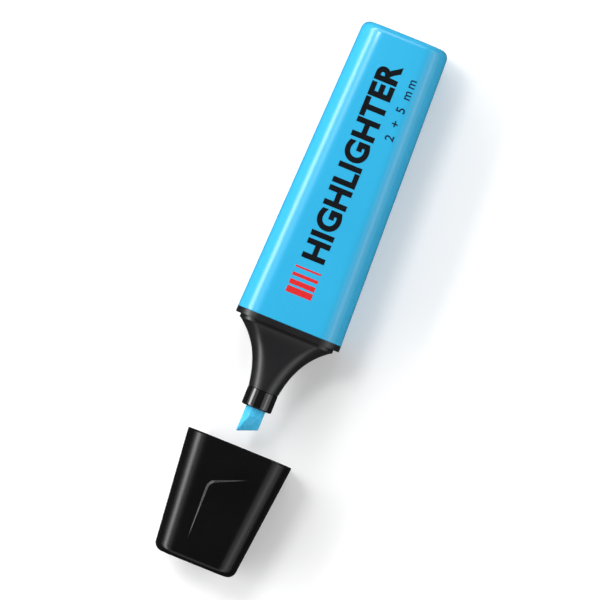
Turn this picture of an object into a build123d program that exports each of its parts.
from build123d import *
import math
import os

# Capped chisel-tip highlighter with its cap pulled off, lying flat on one broad side.
# Row frame, millimetres: +Z up out of the broad side, +Y along the marker towards its
# rear end, +X across it.  The origin is the centre of the barrel's flat underside.

# ---- barrel -------------------------------------------------------------------------
BARREL_LENGTH = 76.0        # mouth to rear end
MOUTH_WIDTH = 27.0          # the widest place, shared by barrel, flange and cap mouth
REAR_WIDTH = 22.2
BODY_THICKNESS = 17.0       # broad side to broad side
SIDE_RADIUS = 6.0           # rounding of the long sides, seen end on
REAR_EDGE_RADIUS = 2.0
BARREL_WALL = 1.3
REAR_WALL = 1.6
RIB_THICKNESS = 0.9
RIB_SPREAD = 5.6            # rib centre from the marker's middle
RIB_FRONT_GAP = 2.0         # room between the ribs and the front section's plug

# ---- front section ------------------------------------------------------------------
FLANGE_LENGTH = 1.5
FLANGE_EDGE = 0.2
SPIGOT_LENGTH = 0.9         # collar that the cap's mouth closes over
FLARE_END = 17.0            # from the barrel's mouth to the end of the neck
FLARE_SHARPNESS = 2.2       # how early the flare draws in
FLARE_SECTIONS = 8
FRONT_WALL = 1.3
NECK_SOLID = 4.5            # length of neck that is solid round the holder's stem
PLUG_LENGTH = 6.0           # tongue of the front section inside the barrel
PLUG_CLEARANCE = 0.05
ROUNDNESS = 0.96            # corner radius of the neck as a share of its half width

# ---- nib holder and nib -------------------------------------------------------------
HOLDER_RADIUS = 3.85
HOLDER_LENGTH = 4.7
HOLDER_EDGE_RADIUS = 0.5
STEM_RADIUS = 3.25
STEM_CLEARANCE = 0.03
STEM_LENGTH = 6.0
STEM_END_GAP = 0.3          # bore behind the end of the stem
NIB_WIDTH = 5.0
NIB_THICKNESS = 3.6
NIB_CORNER = 0.9
NIB_CLEARANCE = 0.04
NIB_REACH = 6.8             # long edge of the nib past the holder
NIB_SLANT = 22.0            # degrees that the writing edge leans
NIB_EDGE_HEIGHT = 0.7       # blunt writing edge, top to bottom
CHISEL_LENGTH = 3.4         # how far the chisel faces run back from the edge
NIB_IN_RESERVOIR = 5.0
NIB_TAIL_CHAMFER = 0.8
SIDE_FACET_WIDTH = 1.6      # facet along the long edge, at the holder
SIDE_FACET_DROP = 1.5

# ---- reservoir ----------------------------------------------------------------------
RESERVOIR_RADIUS = 6.35
WRAP_THICKNESS = 0.25
WRAP_CLEARANCE = 0.02
WRAP_OVERHANG = 0.8
RESERVOIR_FRONT_GAP = 1.5   # plug end to reservoir
RESERVOIR_REAR_GAP = 4.0    # reservoir to the inside of the rear wall
RIB_CLEARANCE = 0.1         # wrap to ribs and to the stops behind it

# ---- cap ----------------------------------------------------------------------------
CAP_WALL = 1.2
CAP_END_WALL = 1.4
CAP_END_WIDTH = 20.6
CAP_END_THICKNESS = 13.0
CAP_EDGE_RADIUS = 1.9
CAP_END_SIDE_RADIUS = 5.0
CAP_SEAT_GAP = 0.3          # cap mouth to flange when pushed home
CAP_FIT = 0.12              # per side, collar in cap mouth
CAP_OFF_GAP = 3.5           # nib to cap mouth with the cap pulled off
CREST_HEIGHT = 0.45
CREST_DEPTH = 10.5          # crest corner, from the cap's mouth
CREST_OFFSET = 3.5          # crest corner, across from the middle
CREST_LEG = 15.4            # crest along the cap
CREST_ARM_REACH = 8.6       # crest across the cap
CREST_ARM_RISE = 4.1        # how much nearer the mouth the arm ends
CREST_CORNER_RADIUS = 2.0
SEAL_BORE_CLEARANCE = 0.05  # running fit of the seal on the nib holder
SEAL_WALL = 0.8
SEAL_GRIP = 3.9             # length of holder that the seal covers
SEAL_FLOOR = 1.0
SEAL_PLATE_CLEARANCE = 0.06
TIP_AIR = 1.3               # nib to seal floor with the cap on

# ---- what follows from the sizes above ----------------------------------------------
AXIS_HEIGHT = BODY_THICKNESS / 2
MOUTH_Y = -BARREL_LENGTH / 2
HOLDER_END = FLARE_END + HOLDER_LENGTH
NIB_TIP = HOLDER_END + NIB_REACH
CAP_SEAT = FLANGE_LENGTH + CAP_SEAT_GAP
CAP_LENGTH = NIB_TIP - CAP_SEAT + TIP_AIR + SEAL_FLOOR + CAP_END_WALL
CAP_MOUTH = NIB_TIP + CAP_OFF_GAP
CAP_TRAVEL = CAP_MOUTH - CAP_SEAT
SEAL_RIM = CAP_MOUTH + HOLDER_END - SEAL_GRIP - CAP_SEAT
SEAL_BORE = HOLDER_RADIUS + SEAL_BORE_CLEARANCE
WRAP_RADIUS = RESERVOIR_RADIUS + WRAP_CLEARANCE + WRAP_THICKNESS
RESERVOIR_FRONT = -PLUG_LENGTH - RESERVOIR_FRONT_GAP
RESERVOIR_REAR = -BARREL_LENGTH + REAR_WALL + RESERVOIR_REAR_GAP


def station(forward):
    """Plane square to the marker's axis, so far in front of the barrel's mouth."""
    return Plane((0, MOUTH_Y - forward, AXIS_HEIGHT), x_dir=(1, 0, 0), z_dir=(0, -1, 0))


def blend(start, end, share):
    return start + (end - start) * share


def section(forward, width, height, radius):
    """Rounded rectangle across the marker."""
    limit = 0.499 * min(width, height)
    return station(forward) * RectangleRounded(width, height, min(radius, limit))


def tapered(start, end, size_at, inset=0.0):
    """Straight-sided body between two stations; size_at gives width, height and radius."""
    faces = []
    for forward in (start, end):
        width, height, radius = size_at(forward)
        faces.append(section(forward, width - 2 * inset, height - 2 * inset, radius - inset))
    return loft(faces, ruled=True)


def flat_sided(start, end, size_at, inset=0.0):
    """Body that tapers in plan only: its broad sides are true planes, its long edges rounded."""
    corners = []
    for forward, sides in ((start, (-1, 1)), (end, (1, -1))):
        half = size_at(forward)[0] / 2 - inset
        corners += [(side * half, MOUTH_Y - forward) for side in sides]
    thickness, radius = size_at(start)[1] - 2 * inset, size_at(start)[2] - inset
    plan = make_face(Polyline(*corners, close=True))
    body = extrude(Pos(0, 0, AXIS_HEIGHT - thickness / 2) * plan, amount=thickness)
    long_edges = [e for e in body.edges() if abs((e @ 1 - e @ 0).Y) > abs(end - start) / 2]
    return fillet(long_edges, radius)


def rod(start, end, radius):
    """Round bar on the marker's axis between two stations."""
    return extrude(station(start) * Circle(radius), amount=end - start)


def bar(start, end, width, height, radius):
    """Bar of rounded rectangular section on the marker's axis."""
    return extrude(section(start, width, height, radius), amount=end - start)


def end_edges(shape, forward):
    """Edges that lie wholly in one station plane."""
    place = MOUTH_Y - forward
    return [e for e in shape.edges()
            if abs(e.bounding_box().min.Y - place) < 0.001
            and abs(e.bounding_box().max.Y - place) < 0.001]


# ---- outer sizes along the marker ---------------------------------------------------
def barrel_size(forward):
    share = -forward / BARREL_LENGTH
    return blend(MOUTH_WIDTH, REAR_WIDTH, share), BODY_THICKNESS, SIDE_RADIUS


def cap_size(forward):
    share = (forward - CAP_MOUTH) / CAP_LENGTH
    return (blend(MOUTH_WIDTH, CAP_END_WIDTH, share),
            blend(BODY_THICKNESS, CAP_END_THICKNESS, share),
            blend(SIDE_RADIUS, CAP_END_SIDE_RADIUS, share))


def collar_size(forward):
    """The collar follows the inside of the cap when the cap is pushed home."""
    width, height, radius = cap_size(forward + CAP_TRAVEL)
    inset = CAP_WALL + CAP_FIT
    return width - 2 * inset, height - 2 * inset, radius - inset


def flare_size(forward):
    """The flare draws in from the collar to the round neck along a decaying curve."""
    start = FLANGE_LENGTH + SPIGOT_LENGTH
    share = (forward - start) / (FLARE_END - start)
    last = math.exp(-FLARE_SHARPNESS)
    left = (math.exp(-FLARE_SHARPNESS * share) - last) / (1 - last)
    width, height, radius = collar_size(start)
    neck = 2 * HOLDER_RADIUS
    return (blend(neck, width, left), blend(neck, height, left),
            blend(ROUNDNESS * HOLDER_RADIUS, radius, left))


def flare(start, end, inset):
    """Smooth body through the flare's sections."""
    faces = []
    for index in range(FLARE_SECTIONS):
        forward = blend(start, end, index / (FLARE_SECTIONS - 1))
        width, height, radius = flare_size(forward)
        faces.append(section(forward, width - 2 * inset, height - 2 * inset, radius - inset))
    return loft(faces)


# ---- barrel: one moulding, closed at the rear, with ribs that hold the reservoir ----
def make_barrel():
    shell = flat_sided(0, -BARREL_LENGTH, barrel_size)
    shell = fillet(end_edges(shell, -BARREL_LENGTH), REAR_EDGE_RADIUS)
    inner_end = -BARREL_LENGTH + REAR_WALL
    hollow = flat_sided(0, inner_end, barrel_size, BARREL_WALL)
    rib_front = -PLUG_LENGTH - RIB_FRONT_GAP
    rib_length = rib_front - inner_end
    rib_height = BODY_THICKNESS - BARREL_WALL    # half a wall into each broad side
    space_rear = RESERVOIR_REAR - WRAP_OVERHANG - RIB_CLEARANCE
    round_space = rod(space_rear, rib_front, WRAP_RADIUS + RIB_CLEARANCE)
    body = shell - hollow
    middle_y = MOUTH_Y - (rib_front + inner_end) / 2
    for side in (-1, 1):
        slab = Pos(side * RIB_SPREAD, middle_y, AXIS_HEIGHT) * Box(RIB_THICKNESS, rib_length, rib_height)
        body += slab - round_space
    return body


# ---- front section: flange, collar, flare and the plug inside the barrel ------------
def make_front_section():
    flange = bar(0, FLANGE_LENGTH, *barrel_size(0))
    flange = chamfer(end_edges(flange, FLANGE_LENGTH), FLANGE_EDGE)
    collar_end = FLANGE_LENGTH + SPIGOT_LENGTH
    collar = tapered(FLANGE_LENGTH, collar_end, collar_size)
    plug_inset = BARREL_WALL + PLUG_CLEARANCE
    plug = flat_sided(-PLUG_LENGTH, 0, barrel_size, plug_inset)
    plug_hollow = flat_sided(-PLUG_LENGTH, collar_end, barrel_size, plug_inset + FRONT_WALL)
    hollow_end = FLARE_END - NECK_SOLID
    flare_hollow = flare(collar_end, hollow_end, FRONT_WALL)
    stem_start = FLARE_END - STEM_LENGTH - STEM_END_GAP
    stem_hole = rod(stem_start, FLARE_END, STEM_RADIUS + STEM_CLEARANCE)
    body = plug + flange + collar + flare(collar_end, FLARE_END, 0)
    return body - plug_hollow - flare_hollow - stem_hole


# ---- nib holder: glossy ring with a stem pushed into the neck -----------------------
def make_nib_holder():
    ring = rod(FLARE_END, HOLDER_END, HOLDER_RADIUS)
    ring = fillet(end_edges(ring, HOLDER_END), HOLDER_EDGE_RADIUS)
    stem = rod(FLARE_END - STEM_LENGTH, FLARE_END, STEM_RADIUS)
    slot = bar(FLARE_END - STEM_LENGTH, HOLDER_END, NIB_WIDTH + 2 * NIB_CLEARANCE,
               NIB_THICKNESS + 2 * NIB_CLEARANCE, NIB_CORNER + NIB_CLEARANCE)
    return ring + stem - slot


# ---- nib: one felt bar from the reservoir to a slanted chisel edge ------------------
def nib_cut(point, normal):
    """Plane through a point given as across, forward, height above the axis."""
    across, forward, height = point
    origin = (across, MOUTH_Y - forward, AXIS_HEIGHT + height)
    return Plane(origin, z_dir=normal)


def make_nib():
    tail = RESERVOIR_FRONT - NIB_IN_RESERVOIR
    body = bar(tail, NIB_TIP, NIB_WIDTH, NIB_THICKNESS, NIB_CORNER)
    body = chamfer(end_edges(body, tail), NIB_TAIL_CHAMFER)
    slant = math.radians(NIB_SLANT)
    outward = Vector(math.sin(slant), -math.cos(slant), 0)
    long_corner = (-NIB_WIDTH / 2, NIB_TIP, 0)
    body = split(body, nib_cut(long_corner, outward), keep=Keep.BOTTOM)
    slope = math.atan2((NIB_THICKNESS - NIB_EDGE_HEIGHT) / 2, CHISEL_LENGTH)
    for side in (-1, 1):
        face = outward * math.sin(slope) + Vector(0, 0, side * math.cos(slope))
        edge = (-NIB_WIDTH / 2, NIB_TIP, side * NIB_EDGE_HEIGHT / 2)
        body = split(body, nib_cut(edge, face), keep=Keep.BOTTOM)
    base_top = Vector(SIDE_FACET_WIDTH - NIB_WIDTH / 2, -HOLDER_END, NIB_THICKNESS / 2)
    base_side = Vector(-NIB_WIDTH / 2, -HOLDER_END, NIB_THICKNESS / 2 - SIDE_FACET_DROP)
    tip = Vector(-NIB_WIDTH / 2, -NIB_TIP, NIB_EDGE_HEIGHT / 2)
    facet = (base_side - base_top).cross(tip - base_top).normalized()
    if facet.Z < 0:
        facet = -facet
    facet_plane = nib_cut((base_top.X, HOLDER_END, base_top.Z), facet)
    head = split(body, station(HOLDER_END), keep=Keep.TOP)
    tail_bar = split(body, station(HOLDER_END), keep=Keep.BOTTOM)
    return tail_bar + split(head, facet_plane, keep=Keep.BOTTOM)


# ---- reservoir: fibre core in a film wrap -------------------------------------------
def make_reservoir_core():
    core = rod(RESERVOIR_REAR, RESERVOIR_FRONT, RESERVOIR_RADIUS)
    pocket_end = RESERVOIR_FRONT - NIB_IN_RESERVOIR
    return core - bar(pocket_end, RESERVOIR_FRONT, NIB_WIDTH + 2 * NIB_CLEARANCE,
                      NIB_THICKNESS + 2 * NIB_CLEARANCE, NIB_CORNER + NIB_CLEARANCE)


def make_reservoir_wrap():
    rear = RESERVOIR_REAR - WRAP_OVERHANG
    front = RESERVOIR_FRONT + WRAP_OVERHANG
    return rod(rear, front, WRAP_RADIUS) - rod(rear, front, WRAP_RADIUS - WRAP_THICKNESS)


# ---- cap shell with its shallow crest on both broad sides ---------------------------
def make_crest():
    """Low wedge: highest at the rounded corner, running out to nothing at both ends."""
    drop = math.atan2((BODY_THICKNESS - CAP_END_THICKNESS) / 2, CAP_LENGTH)
    mouth = Plane((0, MOUTH_Y - CAP_MOUTH, BODY_THICKNESS),
                  x_dir=(1, 0, 0), z_dir=(0, -math.sin(drop), math.cos(drop)))
    corner = (-CREST_OFFSET, -CREST_DEPTH)
    leg_end = (-CREST_OFFSET, -CREST_DEPTH - CREST_LEG)
    arm_end = (-CREST_OFFSET + CREST_ARM_REACH, -CREST_DEPTH + CREST_ARM_RISE)
    outline = make_face(FilletPolyline(arm_end, corner, leg_end, radius=CREST_CORNER_RADIUS)
                        + Line(leg_end, arm_end))
    block = extrude(mouth * outline, amount=CREST_HEIGHT, both=True)
    low_a = mouth.from_local_coords(Vector(leg_end[0], leg_end[1], 0))
    low_b = mouth.from_local_coords(Vector(arm_end[0], arm_end[1], 0))
    high = mouth.from_local_coords(Vector(corner[0], corner[1], CREST_HEIGHT))
    top = (low_b - low_a).cross(high - low_a).normalized()
    if top.Z < 0:
        top = -top
    return split(block, Plane(high, z_dir=top), keep=Keep.BOTTOM)


def make_cap_shell():
    cap_end = CAP_MOUTH + CAP_LENGTH
    shell = tapered(CAP_MOUTH, cap_end, cap_size)
    shell = fillet(end_edges(shell, cap_end), CAP_EDGE_RADIUS)
    hollow = tapered(CAP_MOUTH, cap_end - CAP_END_WALL, cap_size, CAP_WALL)
    crest = make_crest()
    underside = Rot(0, 180, 0) * (Pos(0, 0, -AXIS_HEIGHT) * crest)
    shell += crest + Pos(0, 0, AXIS_HEIGHT) * underside
    return shell - hollow


# ---- inner seal: cup on a plate that closes over the nib holder ---------------------
def make_cap_inner_seal():
    floor_end = CAP_MOUTH + CAP_LENGTH - CAP_END_WALL
    floor_start = floor_end - SEAL_FLOOR
    plate = tapered(floor_start, floor_end, cap_size, CAP_WALL + SEAL_PLATE_CLEARANCE)
    cup = rod(SEAL_RIM, floor_start, SEAL_BORE + SEAL_WALL)
    return plate + cup - rod(SEAL_RIM, floor_start, SEAL_BORE)


NODES = {
    "barrel": make_barrel,
    "front_section": make_front_section,
    "nib_holder": make_nib_holder,
    "nib": make_nib,
    "reservoir_core": make_reservoir_core,
    "reservoir_wrap": make_reservoir_wrap,
    "cap_shell": make_cap_shell,
    "cap_inner_seal": make_cap_inner_seal,
}

os.makedirs("parts", exist_ok=True)
for node, make in NODES.items():
    shape = make()
    export_step(shape, f"parts/{node}.step")
    print(f"{node}: {shape.volume:.1f} mm3, {len(shape.solids())} solid")
print(f"cap travel {CAP_TRAVEL:.2f} mm, cap length {CAP_LENGTH:.2f} mm")
